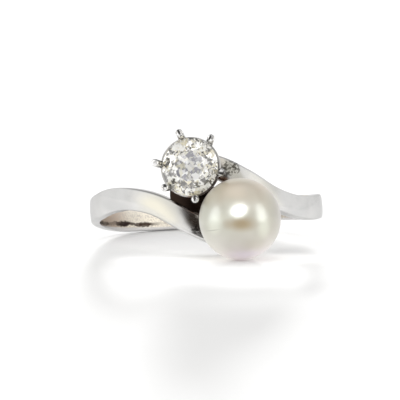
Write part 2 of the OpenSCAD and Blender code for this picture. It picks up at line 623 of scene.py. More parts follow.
class DarkSpeckle(Effect):
    """Speckled dark spots on the band, the claws and the milled rim; on the band's right arm they
    paint a dark reflection and on the rim shade.

    core is the share of the radius where a spot starts to fade, and grain its octaves and seed.
    """

    name = "dark_speckle"
    takes = {"Middle": VECTOR, "Radius": FLOAT, "Grain": FLOAT, "Start": FLOAT, "Full": FLOAT}
    gives = {"Mask": FLOAT}
    core = 0.7
    weight = 0.85
    grain = (3.0, 9.0)

    @classmethod
    def wire(cls, tree: Wiring, entry: Outputs) -> dict[str, Socket]:
        """Wires the inside of the group.

        Args:
            tree: The group's wiring.
            entry: The spot's Middle and Radius in the ring's axes, in metres, the scale of its
                Grain, and the grain's values where the speckle starts and is full.

        Returns:
            The speckle's Mask.
        """
        place = tree.ring_place()
        away = tree.vector("DISTANCE", place, entry["Middle"])
        core = tree.number("MULTIPLY", entry["Radius"], cls.core)
        inside = tree.spread(away, core, entry["Radius"], 1.0, 0.0)
        grain = tree.noise(place, entry["Grain"], *cls.grain)
        speckle = tree.spread(grain, entry["Start"], entry["Full"], 0.0, cls.weight)
        return {"Mask": tree.number("MULTIPLY", inside, speckle)}


class SoftPatch(Effect):
    """A patch that fades out from its core, shared by all the finishes."""

    name = "soft_patch"
    takes = dict.fromkeys(("Place", "Middle", "Size"), VECTOR)
    takes |= dict.fromkeys(("Lean", "Core", "Weight"), FLOAT)
    gives = {"Mask": FLOAT}

    @classmethod
    def wire(cls, tree: Wiring, entry: Outputs) -> dict[str, Socket]:
        """Wires the inside of the group.

        Args:
            tree: The group's wiring.
            entry: The Place that is measured, the patch's Middle, Size and Lean, the share of its
                size where it starts to fade, Core, and its Weight before that.

        Returns:
            The patch's Mask.
        """
        turn = tree.add("CombineXYZ", {"Y": entry["Lean"]}).outputs["Vector"]
        moves = {"Location": entry["Middle"], "Rotation": turn, "Scale": entry["Size"]}
        away = tree.vector("LENGTH", tree.map(entry["Place"], "TEXTURE", **moves))
        return {"Mask": tree.spread(away, entry["Core"], 1.0, entry["Weight"], 0.0)}


class FacetMosaic(Effect):
    """The many small facets that an old cut mirrors in itself, each tipped its own way, with
    numbers that pick each facet's painted reflection.

    layers holds each lot of facets' size, as a share of the largest, and turn how the lots lie.
    """

    name = "facet_mosaic"
    takes = {"Fineness": FLOAT, "Tip": FLOAT, "Flat": VECTOR}
    gives = {"Tint": FLOAT, "Shade": FLOAT, "Normal": VECTOR}
    layers = (1.0, 0.45)
    turn = (0.5, 0.7, 0.3)
    large_weight = 1.3

    @classmethod
    def wire(cls, tree: Wiring, entry: Outputs) -> dict[str, Socket]:
        """Wires the inside of the group.

        Args:
            tree: The group's wiring.
            entry: Fineness, the number of facets to a metre, Tip, how far they lean, and Flat, the
                normal that they lean from.

        Returns:
            Tint and Shade, two numbers that differ from facet to facet, and the tipped Normal.
        """
        place = tree.place()
        tilt, *rest = cls.turn
        cells = []
        for share in cls.layers:
            turned = tree.map(place, Rotation=(tilt * share, *rest))
            inputs = {"Vector": turned, "Scale": tree.number("DIVIDE", entry["Fineness"], share)}
            cells.append(tree.add("TexVoronoi", inputs, distance="CHEBYCHEV").outputs["Color"])
        mean = tree.split(tree.vector("MULTIPLY_ADD", cells[0], (cls.large_weight,) * 3, cells[1]))
        lean = tree.scale(tree.vector("SUBTRACT", cells[0], (0.5, 0.5, 0.5)), entry["Tip"])
        tipped = tree.vector("NORMALIZE", tree.vector("ADD", lean, entry["Flat"]))
        return {"Tint": mean["X"], "Shade": mean["Y"], "Normal": tipped}


@dataclass(frozen=True)
class Patch:
    """A soft patch of another colour.

    Its middle and size are in millimetres, as the ring lies on the table. weight is how much of
    the colour it takes, core the share of its size where it starts to fade and lean its turn in
    degrees.
    """

    at: Place
    size: Place
    colour: Colour
    weight: float
    core: float = 0.1
    lean: float = 0.0

    def lay(self, tree: Wiring, place: Socket, base: Socket) -> Socket:
        """Lays the patch over a colour.

        Args:
            tree: The finish's wiring.
            place: The place on the table.
            base: The colour below.

        Returns:
            The colour with the patch.
        """
        values = {
            "Place": place,
            "Middle": metres(self.at),
            "Size": metres(self.size),
            "Lean": math.radians(self.lean),
            "Core": self.core,
            "Weight": self.weight,
        }
        return tree.blend(SoftPatch.add(tree, values)["Mask"], base, self.colour)


@dataclass(frozen=True)
class Finish:
    """A finish that one material gives."""

    name: str

    def wire(self, tree: Wiring) -> dict[str, object]:
        """Wires the finish.

        Args:
            tree: The material's wiring.

        Returns:
            What each input of the material's shader is fed.
        """
        raise NotImplementedError

    def material(self) -> Material:
        """Makes the material."""
        material = bpy.data.materials.new(self.name)
        material.use_nodes = True
        material.node_tree.nodes.clear()
        tree = Wiring(material.node_tree)
        shader = tree.add("BsdfPrincipled", self.wire(tree))
        tree.add("OutputMaterial", {"Surface": shader.outputs["BSDF"]})
        return material


@dataclass(frozen=True)
class WhiteGold(Finish):
    """Polished white gold with hairline scratches, tarnish and painted shade, and dark speckled
    spots.

    The tarnish distances from the finger axis are where the tarnish and its painted shade fade out,
    and spots hold each spot's middle in the ring's axes and its radius, all in millimetres. The
    spots on the band and the rim and the patches paint dark reflections, shade and highlights.
    polish and dulled are the roughness of the clean and the worn gold, and scratch is the
    hairlines' strength and depth. browned and blackened hold the values of the tarnish and shade
    mask between which it turns brown and then black.
    """

    clean: Colour = (0.69, 0.685, 0.675)
    worn: Colour = (0.64, 0.635, 0.625)
    brown: Colour = (0.3, 0.17, 0.1)
    black: Colour = (0.03, 0.02, 0.015)
    tarnish_and_shade: tuple[float, float] = (0.0, 0.1)
    browned: tuple[float, float] = (0.0, 0.5)
    blackened: tuple[float, float] = (0.4, 1.0)
    spots: tuple[tuple[float, float, float, float], ...] = ()
    spot_colour: Colour = (0.2, 0.19, 0.17)
    speckle: tuple[float, float] = (0.42, 0.6)
    grain: float = 4800.0
    polish: float = 0.1
    dulled: float = 0.24
    marks: float = 1.0
    seed: float = 0.0
    scratch: tuple[float, float] = (0.06, 0.01)
    patches: tuple[Patch, ...] = ()

    def wire(self, tree: Wiring) -> dict[str, object]:
        """Wires the white gold.

        Args:
            tree: The material's wiring.

        Returns:
            What each input of the material's shader is fed.
        """
        wear = HandlingMarks.add(tree, {"Scale": self.marks, "Seed": self.seed})
        # The recess mask: tarnish with painted shade.
        low, high = metres(self.tarnish_and_shade)
        mask = Recess.add(tree, {"Low": low, "High": high})["Mask"]
        colour = tree.blend(wear["Smudges"], self.clean, self.worn)
        place = tree.place()
        # The patches paint shade, highlights and dark reflections.
        for patch in self.patches:
            colour = patch.lay(tree, place, colour)
        colour = tree.blend(tree.spread(mask, *self.browned), colour, self.brown)
        start, full = self.speckle
        # Dark speckled spots; on the band and the rim they paint dark reflection and shade.
        for *middle, radius in self.spots:
            values = {"Middle": metres(middle), "Radius": radius * MM, "Grain": self.grain}
            speckled = DarkSpeckle.add(tree, {**values, "Start": start, "Full": full})["Mask"]
            colour = tree.blend(speckled, colour, self.spot_colour)
        marked = tree.number("MAXIMUM", wear["Hairlines"], mask)
        return {
            "Base Color": tree.blend(tree.spread(mask, *self.blackened), colour, self.black),
            "Metallic": 1.0,
            "Specular Tint": GOLD_RIM,
            "Roughness": tree.grade(marked, self.polish, self.dulled),
            "Normal": tree.bump(wear["Hairlines"], *self.scratch, sunk=True),
        }


@dataclass(frozen=True)
class InsideGold(Finish):
    """The inside of the band, speckled, with painted reflections: brown and pale tones, a dark line
    low down and dark patches along it, and a pale lower rim that is a painted highlight.

    line_up is the line's height along the finger. Each fade holds two places and its shares there:
    line_wide the distance from the line's middle, line_end the right where the line fades, side the
    right where the gold turns brown and rim the height where it turns pale again. wander holds
    each noise that shakes the line and its reach, and shake is how far the dark patches' edges
    stray.
    specks and thinning are the noises of the speckle and of the line's thinner stretches, speckled
    and thinned what they are mapped to, and grain is the speckle's strength and height. All
    lengths are in millimetres.
    """

    name: str = "inside_gold_painted_reflection"
    pale: Colour = (0.98, 0.93, 0.83)
    brown: Colour = (0.5, 0.39, 0.34)
    grey: Colour = (0.6, 0.55, 0.52)
    dark: Colour = (0.04, 0.024, 0.02)
    edge: Colour = (0.76, 0.75, 0.76)
    side: Fade = (-7.2, -5.4, 0.8, 0.0)
    rim: Fade = (-0.8, -0.7, 0.9, 0.0)
    line_up: float = -0.5
    line_wide: Fade = (0.075, 0.15, 0.85, 0.0)
    line_end: Fade = (-4.4, -2.6, 1.0, 0.15)
    wander: tuple[tuple[Cloud, float], ...] = (((900, 3, 5), 0.6), ((2600, 3, 3), 0.3))
    shake: float = 0.36
    ragged: float = 3000.0
    specks: Cloud = (8000.0, 2.0, 8.0)
    speckled: Fade = (0.45, 0.65, 0.0, 0.65)
    thinning: Cloud = (1500.0, 2.0, 14.0)
    thinned: Fade = (0.38, 0.52, 0.6, 1.0)
    grain: tuple[float, float] = (0.1, 0.01)
    rough: tuple[float, float] = (0.285, 0.4)
    # Dark patches along the line: painted dark reflections.
    dark_reflection_patches: tuple[Patch, ...] = (
        Patch((-5.98, 9.2, 1.06), (0.68, 1.6, 0.3), (0.035, 0.022, 0.022), 0.95, 0.55),
        Patch((-4.2, 10.55, 0.8), (0.95, 1.6, 0.22), (0.06, 0.038, 0.03), 0.9, 0.45),
        Patch((-8.5, 3.9, 1.66), (0.75, 2.4, 0.24), (0.05, 0.03, 0.03), 0.9, 0.4),
    )

    def line(self, tree: Wiring, place: Socket, sides: Outputs) -> Socket:
        """Draws the dark line.

        Args:
            tree: The material's wiring.
            place: The place in the ring's axes.
            sides: The same place's X, Y and Z.

        Returns:
            The line's share of the colour.
        """
        shaken, mean = sides["Z"], self.line_up
        for cloud, reach in self.wander:
            shaken = tree.number("MULTIPLY_ADD", tree.noise(place, *cloud), reach * MM, shaken)
            mean += reach / 2
        away = tree.number("ABSOLUTE", tree.number("SUBTRACT", shaken, mean * MM))
        end = tree.fade(sides["X"], *self.line_end)
        thin = tree.spread(tree.noise(place, *self.thinning), *self.thinned)
        thin = tree.number("MULTIPLY", end, thin)
        return tree.number("MULTIPLY", tree.fade(away, *self.line_wide), thin)

    def wire(self, tree: Wiring) -> dict[str, object]:
        """Wires the rubbed gold.

        Args:
            tree: The material's wiring.

        Returns:
            What each input of the material's shader is fed.
        """
        table, place = tree.place(), tree.ring_place()
        sides = tree.split(place)
        speck = tree.spread(tree.noise(place, *self.specks), *self.speckled)
        # Brown and pale tones and the dark line are painted reflections, the pale rim a painted
        # highlight.
        left = tree.fade(sides["X"], *self.side)
        colour = tree.blend(speck, tree.blend(left, self.pale, self.brown), self.grey)
        colour = tree.blend(tree.fade(sides["Z"], *self.rim), colour, self.edge)
        colour = tree.blend(self.line(tree, place, sides), colour, self.dark)
        ragged = tree.add("TexNoise", {"Vector": table, "Scale": self.ragged}).outputs["Color"]
        shaken = tree.vector("MULTIPLY_ADD", ragged, (self.shake * MM,) * 3, table)
        # Dark patches: painted dark reflections.
        for dark_reflection_patch in self.dark_reflection_patches:
            colour = dark_reflection_patch.lay(tree, shaken, colour)
        return {
            "Base Color": colour,
            "Metallic": 1.0,
            "Specular Tint": GOLD_RIM,
            "Roughness": tree.grade(speck, *self.rough),
            "Normal": tree.bump(speck, *self.grain),
        }


@dataclass(frozen=True)
class CutDiamond(Finish):
    """Old-cut diamond whose base colour paints the reflections in its many small facets.

    Each facet is tipped its own way and painted clear, tinted or dark, and the patches are painted
    reflections too. cell is the size of the small facets in millimetres and tip how far they lean.
    tinting and shading hold the facets' numbers between which the tint and the dark come in.
    """

    name: str = "cut_diamond"
    clear: Colour = (1.0, 1.0, 1.0)
    tinted: Colour = (0.78, 0.75, 0.6)
    dark: Colour = (0.26, 0.26, 0.3)
    tinting: tuple[float, float] = (0.9, 1.8)
    shading: tuple[float, float] = (0.9, 1.8)
    cell: float = 0.52
    tip: float = 0.5
    clarity: float = 0.45
    haze: float = 0.0
    bending: float = 2.42
    patches: tuple[Patch, ...] = ()

    def wire(self, tree: Wiring) -> dict[str, object]:
        """Wires the diamond.

        Args:
            tree: The material's wiring.

        Returns:
            What each input of the material's shader is fed.
        """
        flat = tree.add("NewGeometry", {}).outputs["Normal"]
        values = {"Fineness": 1 / (self.cell * MM), "Tip": self.tip, "Flat": flat}
        facets = FacetMosaic.add(tree, values)
        # Clear, tinted and dark facets: painted reflections.
        tint = tree.spread(facets["Tint"], *self.tinting)
        shade = tree.spread(facets["Shade"], *self.shading)
        colour = tree.blend(shade, tree.blend(tint, self.clear, self.tinted), self.dark)
        place = tree.place()
        for patch in self.patches:
            colour = patch.lay(tree, place, colour)
        return {
            "Base Color": colour,
            "Roughness": self.haze,
            "IOR": self.bending,
            "Transmission Weight": self.clarity,
            "Normal": facets["Normal"],
        }


class Tone(Enum):
    """The tones that drift over the pearl; the darkest is painted shade on its right side."""

    ROSE = (0.54, 0.475, 0.475)
    GREEN = (0.46, 0.455, 0.35)
    WARM = (0.67, 0.5, 0.31)
    PAINTED_SHADE = (0.31, 0.265, 0.2)


@dataclass(frozen=True)
class Nacre(Finish):
    """Cream nacre: a tan body under a pale lustre, with soft drifts of rose and green.

    drifts holds, for each tone, the axis that it runs along and its fade in millimetres; the
    darkest drift is painted shade on the right side, and some patches are painted reflections.
    clouds holds each cloudy tone's noise and the value where the tone is full, while cloud_from is
    where it starts. waves is the noise of the skin's waves and ripple their strength and height.
    """

    name: str = "cream_nacre"
    body: Colour = (0.56, 0.495, 0.36)
    drifts: tuple[tuple[Tone, str, Fade], ...] = (
        (Tone.ROSE, "Z", (0.4, 3.2, 0.85, 0.0)),
        (Tone.GREEN, "X", (-1.5, 1.2, 0.7, 0.0)),
        (Tone.WARM, "Z", (3.6, 6.0, 0.0, 0.7)),
        # Darker towards the right side: painted shade.
        (Tone.PAINTED_SHADE, "X", (3.0, 4.7, 0.0, 0.85)),
    )
    clouds: tuple[tuple[Tone, Cloud, float], ...] = (
        (Tone.ROSE, (260, 1, 1), 0.8),
        (Tone.GREEN, (420, 1, 7), 0.9),
    )
    cloud_from: float = 0.2
    cloud_weight: float = 0.5
    marks: float = 0.6
    seed: float = 3.0
    patches: tuple[Patch, ...] = (
        # Pale patches at the left and right: painted reflections of the side lamps.
        Patch((-0.73, -11.7, 2.95), (0.8, 1.6, 1.0), (0.74, 0.735, 0.61), 0.8),
        Patch((3.0, -12.2, 2.75), (0.75, 1.6, 1.2), (0.76, 0.745, 0.61), 0.8),
        Patch((0.95, -11.3, 5.4), (1.2, 1.6, 0.75), (0.78, 0.64, 0.48), 0.6),
        Patch((2.3, -12.0, 1.5), (1.5, 2.0, 0.9), (0.4, 0.345, 0.25), 0.55),
        Patch((1.75, -11.3, 0.6), (2.0, 1.6, 0.6), (0.52, 0.44, 0.52), 0.5),
        # Tan patches under the highlight: painted dark reflection.
        Patch((0.2, -12.4, 3.05), (0.5, 1.6, 0.6), (0.4, 0.31, 0.2), 0.6),
        Patch((1.28, -12.57, 3.09), (1.6, 3.0, 0.78), (0.33, 0.19, 0.03), 1.0),
        Patch((-0.89, -11.48, 2.52), (0.75, 1.5, 0.06), (0.2, 0.16, 0.12), 0.5, 0.3, -14.0),
    )
    rough: tuple[float, float] = (0.285, 0.33)
    waves: Cloud = (450.0, 1.0, 2.0)
    ripple: tuple[float, float] = (0.8, 0.05)

    def wire(self, tree: Wiring) -> dict[str, object]:
        """Wires the nacre.

        Args:
            tree: The material's wiring.

        Returns:
            What each input of the material's shader is fed.
        """
        place = tree.place()
        sides = tree.split(place)
        colour: object = self.body
        for tone, axis, fade in self.drifts:
            colour = tree.blend(tree.fade(sides[axis], *fade), colour, tone.value)
        for tone, cloud, full in self.clouds:
            share = tree.noise(place, *cloud)
            share = tree.spread(share, self.cloud_from, full, 0.0, self.cloud_weight)
            colour = tree.blend(share, colour, tone.value)
        for patch in self.patches:
            colour = patch.lay(tree, place, colour)
        wear = HandlingMarks.add(tree, {"Scale": self.marks, "Seed": self.seed})
        return {
            "Base Color": colour,
            "Roughness": tree.grade(wear["Smudges"], *self.rough),
            "IOR": 2.7,
            "Specular Tint": (0.92, 1.0, 0.98),
            "Coat Weight": 0.2,
            "Coat Roughness": 0.2,
            "Coat IOR": 1.5,
            "Sheen Weight": 0.15,
            "Sheen Roughness": 0.4,
            "Sheen Tint": (0.88, 0.84, 1.0),
            "Normal": tree.bump(tree.noise(place, *self.waves), *self.ripple),
        }


@dataclass(frozen=True)
class WhitePaper(Finish):
    """The table's matt white paper, with faint fibres. cloud is their noise's scale and octaves."""

    name: str = "white_paper"
    colour: Colour = (0.81, 0.81, 0.81)
    fibres: Colour = (0.8019, 0.8019, 0.8019)
    cloud: tuple[float, float] = (60.0, 3.0)
    fibrous: tuple[float, float] = (0.3, 0.7)

    def wire(self, tree: Wiring) -> dict[str, object]:
        """Wires the paper.

        Args:
            tree: The material's wiring.

        Returns:
            What each input of the material's shader is fed.
        """
        fibre = tree.spread(tree.noise(tree.place(), *self.cloud), *self.fibrous)
        colour = tree.blend(fibre, self.colour, self.fibres)
        return {"Base Color": colour, "Roughness": 0.9, "Specular IOR Level": 0.0}


# The ring's sub-assemblies

ARM_TABLE: tuple[tuple[float, float, float], ...] = (
    (0, 0, 0),
    (0, 0, 0),
    (0.02, 0, 0),
    (0.045, 0, 0),
    (-0.01, -0.2, 0),
    (-0.065, 0, 0),
    (-0.12, 0.2, 0.1),
    (-0.18, 0, 0.3),
    (-0.265, 0.2, 0.55),
    (-0.23, 1, 0.8),
    (0.02, 1, 1),
    (0.54, 0.6, 1),
    (1, 1, 1),
    (1.045, 1, 1),
)
# Distances from the finger axis where the settings' tarnish and painted shade fade out, in mm.
SETTING_TARNISH_AND_SHADE = (11.9, 13.1)


@dataclass
class Band:
    """The polished band, whose two ends sweep past each other at the head.

    Sizes are in millimetres. ARM_TABLE holds, for each 15 degrees from the back, the swing along
    the finger as a share of sweep, the width from back_w to arm_w and the thickness from back_t to
    head_t. crown_share and floor_share are how much of the section's top and floor is drawn
    between its roundings.
    """

    finger_r: float = 8.5
    back_w: float = 1.95
    arm_w: float = 1.75
    back_t: float = 0.75
    head_t: float = 0.95
    sweep: float = 2.65
    edge_r: float = 0.2
    inner_edge_r: float = 0.07
    dome: float = 0.05
    row_step: float = 15.0
    arm_end: float = 194.0
    steps: int = 360
    edge_steps: int = 8
    crown_steps: int = 8
    crown_share: float = 0.8
    inner_steps: int = 5
    floor_steps: int = 6
    floor_share: float = 0.75
    slack: float = 0.01

    def row(self, index: int) -> np.ndarray:
        """Reads a row of the table, mirrored before its start."""
        values = np.array(ARM_TABLE[min(abs(index), len(ARM_TABLE) - 1)], float)
        return values * (-1, 1, 1) if index < 0 else values

    def at(self, angle: float) -> np.ndarray:
        """Reads the table at any angle, on a smooth curve through its rows.

        Args:
            angle: The angle from the back of the band, in degrees.

        Returns:
            The swing's, width's and thickness's shares.
        """
        place = abs(angle) / self.row_step
        i = int(place)
        u = place - i
        a, b, c, d = (self.row(i + k) for k in (-1, 0, 1, 2))
        return b + u / 2 * (c - a + u * (2 * a - 5 * b + 4 * c - d + u * (3 * (b - c) + d - a)))

    def swing(self, angle: float) -> float:
        """Gives how far the arm has swung along the finger."""
        return math.copysign(1, angle) * self.sweep * float(self.at(angle)[0])

    def slant(self, angle: float) -> float:
        """Gives the arm's slope against the plane of the ring, in radians."""
        run = 2 * math.radians(1) * (self.finger_r + self.head_t / 2)
        return math.atan((self.swing(angle + 1) - self.swing(angle - 1)) / run)

    def section(self, width: float, top: float) -> np.ndarray:
        """Draws the band's section.

        Args:
            width: Its width.
            top: The distance of its crown from the finger axis.

        Returns:
            Points of place across the band and distance from the finger axis.
        """
        half, flat = width / 2, width / 2 - self.edge_r
        low, inner = self.finger_r, self.inner_edge_r
        shoulder = top - self.dome - self.edge_r
        under = [
            (half - inner * (1 - math.cos(t)), low + inner * (1 - math.sin(t)))
            for t in np.linspace(math.pi / 2, 0, self.inner_steps + 1)[1:]
        ]
        side = [(half, (low + inner + shoulder) / 2)]
        edge = [
            (flat + self.edge_r * math.cos(t), shoulder + self.edge_r * math.sin(t))
            for t in np.linspace(0, math.pi / 2, self.edge_steps + 1)
        ]
        right = [*under, *side, *edge]
        across = np.linspace(self.crown_share, -self.crown_share, self.crown_steps + 1)
        crown = [(s * flat, top - self.dome * s * s) for s in across]
        left = [(-x, y) for x, y in reversed(right)]
        across = np.linspace(-self.floor_share, self.floor_share, self.floor_steps + 1)
        floor = [(s * (half - inner), low) for s in across]
        return np.array([*right, *crown, *left, *floor])

    def ring(self, angle: float) -> np.ndarray:
        """Sets the section across the arm.

        Args:
            angle: The angle from the back, in degrees.

        Returns:
            The section's points in the ring's axes.
        """
        shares = self.at(angle)
        slant, turn = self.slant(angle), math.radians(angle)
        width = self.back_w + shares[1] * (self.arm_w - self.back_w)
        top = self.finger_r + self.back_t + shares[2] * (self.head_t - self.back_t)
        points = self.section(width, top)
        along = points[:, 0] * math.sin(slant)
        out = points[:, 1].copy()
        inside = out < self.finger_r + self.inner_edge_r + TOUCH
        out[inside] = np.sqrt(out[inside] ** 2 - along[inside] ** 2)
        return np.stack(
            [
                out * math.sin(turn) - along * math.cos(turn),
                out * math.cos(turn) + along * math.sin(turn),
                self.swing(angle) + points[:, 0] * math.cos(slant),
            ],
            axis=1,
        )

    def build(self) -> Piece:
        """Skins the band from one arm's end to the other's.

        Returns:
            The band.
        """
        angles = np.linspace(-self.arm_end, self.arm_end, self.steps + 1)
        return loft("band", np.stack([self.ring(float(a)) for a in angles]))

    def dress(self, finish: Material, inside: Material) -> None:
        """Builds the band and gives it its finishes.

        Args:
            finish: The outer faces' material.
            inside: The material of the face that the finger rubs.
        """
        band = self.build()
        limit = self.finger_r + self.slack
        inner = [math.hypot(*f.center[:2]) < limit for f in band.data.polygons]
        finish_piece(band, finish)
        band.data.materials.append(inside)
        band.data.polygons.foreach_set("material_index", [int(i) for i in inner])


@dataclass
class Bridge:
    """The small curved plate that ties the two arms together under the diamond."""

    place: HeadPlace = BRIDGE_PLACE
    inner_r: float = 8.5
    outer_r: float = 9.14
    radius: float = 1.75
    edge_r: float = 0.06
    flat_from: float = 0.2
    flat_margin: float = 0.15
    flat_points: int = 8
    steps: int = 96

    def build(self) -> Piece:
        """Bends a round plate about the finger axis.

        Returns:
            The plate.
        """
        half, middle = (self.outer_r - self.inner_r) / 2, (self.outer_r + self.inner_r) / 2
        low, high = ((self.radius, side, self.edge_r) for side in (-half, half))
        profile = rounded([(0, -half, 0), low, high, (0, half, 0)])
        flat = np.linspace(self.flat_from, self.radius - self.flat_margin, self.flat_points)
        fine = [(0.0, -half), *((r, -half) for r in flat), *profile[1:-1]]
        fine += [*((r, half) for r in flat[::-1]), (0.0, half)]
        plate = lathe("bridge_plate", fine, self.steps)
        for v in plate.data.vertices:
            radius = middle + v.co.z
            v.co.z = math.sqrt(radius**2 - v.co.x**2)
        plate.data.transform(self.place.matrix())
        return plate

    def dress(self, finish: Material) -> None:
        """Builds the plate and gives it its finish."""
        finish_piece(self.build(), finish)


@dataclass
class Coronet:
    """The fluted collet and its six claws, drawn from the diamond's axis and girdle.

    claws holds each claw's direction round the diamond and the reach of its cut end. Each edge is
    the radius that rounds a corner. knee_in and knee_out are the shares of a claw's two legs where
    its knee starts and ends. The seat's sizes are those of the room that the diamond needs.
    """

    place: HeadPlace = DIAMOND_PLACE
    claws: tuple[tuple[float, float], ...] = (
        (48, 2.86),
        (103, 2.77),
        (171, 2.78),
        (218, 2.6),
        (277, 2.71),
        (345, 2.62),
    )
    foot: float = -3.15
    foot_r: float = 1.3
    waist: float = -2.45
    waist_r: float = 1.4
    waist_edge: float = 0.5
    top: float = -0.22
    top_r: float = 2.36
    top_edge: float = 0.05
    rim_edge: float = 0.03
    bore_edge: float = 0.3
    wall: float = 0.36
    flute_r: float = 0.55
    flute_at: float = 2.72
    window_r: float = 0.45
    window_up: float = -2.1
    claw_r: float = 0.3
    claw_top: float = 1.15
    claw_spare: float = 0.4
    claw_round: float = 0.15
    knee_r: float = 2.28
    knee_up: float = -0.5
    knee_in: float = 0.8
    knee_out: float = 0.3
    seat_r: float = 2.3
    seat_top: float = 0.11
    seat_low: float = -2.01
    seat_low_r: float = 0.16
    seat_crown: float = 0.83
    seat_table_r: float = 1.24
    cone_steps: int = 192
    flute_steps: int = 64
    window_steps: int = 48
    room_steps: int = 128
    claw_steps: int = 40
    leg_points: int = 9
    flute_ends: tuple[float, float] = (-4, 1)
    window_ends: tuple[float, float] = (0.4, 4)
    rim_depth: float = 0.1

    def collet(self) -> Piece:
        """Turns the cone, then cuts a flute at each claw and a window between them.

        Returns:
            The collet.
        """
        slope = (self.seat_r - self.seat_low_r) / (-self.seat_top - self.seat_low)
        rim_r = self.seat_r + (self.top + self.seat_top) * slope
        bore_r, mouth_r = self.foot_r - self.wall, self.top_r - self.wall
        inner = (mouth_r - bore_r) / (self.top - self.waist)
        meet = mouth_r - self.seat_r - self.top * inner - self.seat_top * slope
        meet /= slope - inner
        meet_r = self.seat_r + (meet + self.seat_top) * slope
        section = [
            (bore_r, self.foot, 0),
            (self.foot_r, self.foot, 0),
            (self.waist_r, self.waist, self.waist_edge),
            (self.top_r, self.top, self.top_edge),
            (rim_r, self.top, self.rim_edge),
            (meet_r, meet, 0),
            (bore_r, self.waist, self.bore_edge),
        ]
        cone = lathe("collet", rounded(section), self.cone_steps)
        at_flank = Matrix.Translation((self.flute_at, 0, 0))
        level = Matrix.Translation((0, 0, self.window_up)) @ Matrix.Rotation(math.pi / 2, 4, "Y")
        angles = [angle for angle, _ in self.claws]
        cutters = []
        for angle, following in zip(angles, angles[1:] + [angles[0] + 360]):
            flute = self.drill("flute", self.flute_r, self.flute_ends, self.flute_steps)
            flute.data.transform(Matrix.Rotation(math.radians(angle), 4, "Z") @ at_flank)
            window = self.drill("window", self.window_r, self.window_ends, self.window_steps)
            between = Matrix.Rotation(math.radians((angle + following) / 2), 4, "Z")
            window.data.transform(between @ level)
            cutters += [flute, window]
        cut(cone, cutters)
        return cone

    @staticmethod
    def drill(name: str, radius: float, ends: tuple[float, float], steps: int) -> Piece:
        """Makes a round cutter.

        Args:
            name: The cutter's name.
            radius: Its radius.
            ends: The heights of its two ends.
            steps: How many sides it has.

        Returns:
            The cutter.
        """
        low, high = ends
        return lathe(name, [(0, low), (radius, low), (radius, high), (0, high)], steps)

    def stone_room(self) -> Piece:
        """Turns the room that the diamond needs."""
        section = [
            (0, self.seat_low),
            (self.seat_low_r, self.seat_low),
            (self.seat_r, -self.seat_top),
            (self.seat_r, self.seat_top),
            (self.seat_table_r, self.seat_crown),
            (0, self.seat_crown),
        ]
        return lathe("stone_room", section, self.room_steps)

    def claw(self, angle: float, reach: float) -> Piece:
        """Draws one claw up the collet's flank, over its knee and out past the girdle.

        Args:
            angle: Its direction round the diamond, in degrees.
            reach: The distance of its cut end from the diamond's axis.

        Returns:
            The claw, notched for the girdle.
        """
        start = np.array([self.foot_r - self.claw_r / 2, self.foot])
        knee = np.array([self.knee_r, self.knee_up])
        tip = np.array([reach, self.claw_top + self.claw_spare])
        end = knee + (tip - knee) * (self.claw_top - self.knee_up) / (tip - knee)[1]
        path = [start * (1 - u) + knee * u for u in np.linspace(0, self.knee_in, self.leg_points)]
        low = start * (1 - self.knee_in) + knee * self.knee_in
        high = knee * (1 - self.knee_out) + end * self.knee_out
        for u in np.linspace(0, 1, self.leg_points + 2)[1:-1]:
            path.append(low * (1 - u) ** 2 + knee * 2 * u * (1 - u) + high * u**2)
        path += [knee * (1 - u) + end * u for u in np.linspace(self.knee_out, 1, self.leg_points)]
        rings = [(x, z, self.claw_r) for x, z in path if z < self.claw_top - self.claw_round]
        lean = (end - knee) / (end - knee)[1]
        for t in np.linspace(0, math.pi / 2, self.leg_points):
            z = self.claw_top - self.claw_round * (1 - math.sin(t))
            radius = self.claw_r - self.claw_round * (1 - math.cos(t))
            rings.append((end[0] + lean[0] * (z - end[1]), z, radius))
        turns = np.linspace(0, 2 * math.pi, self.claw_steps, endpoint=False)
        skin = [[(x + r * math.cos(t), r * math.sin(t), z) for t in turns] for x, z, r in rings]
        claw = loft("claw", np.array(skin))
        claw.data.transform(Matrix.Rotation(math.radians(angle), 4, "Z"))
        cut(claw, [self.stone_room()])
        return claw

    def dress(self, finish: Material, worn: Material, milled: Material) -> None:
        """Builds the collet and the claws and gives them their finishes.

        Args:
            finish: The collet's material.
            worn: The claws' material.
            milled: The material of the collet's rim.
        """
        cone = self.collet()
        rim = [f.center.z > self.top - self.rim_depth for f in cone.data.polygons]
        cone.data.transform(self.place.matrix())
        finish_piece(cone, finish, sharp=30)
        cone.data.materials.append(milled)
        cone.data.polygons.foreach_set("material_index", [int(r) for r in rim])
        claws = join("claws", [self.claw(*c) for c in self.claws])
        claws.data.transform(self.place.matrix())
        finish_piece(claws, worn, sharp=40)


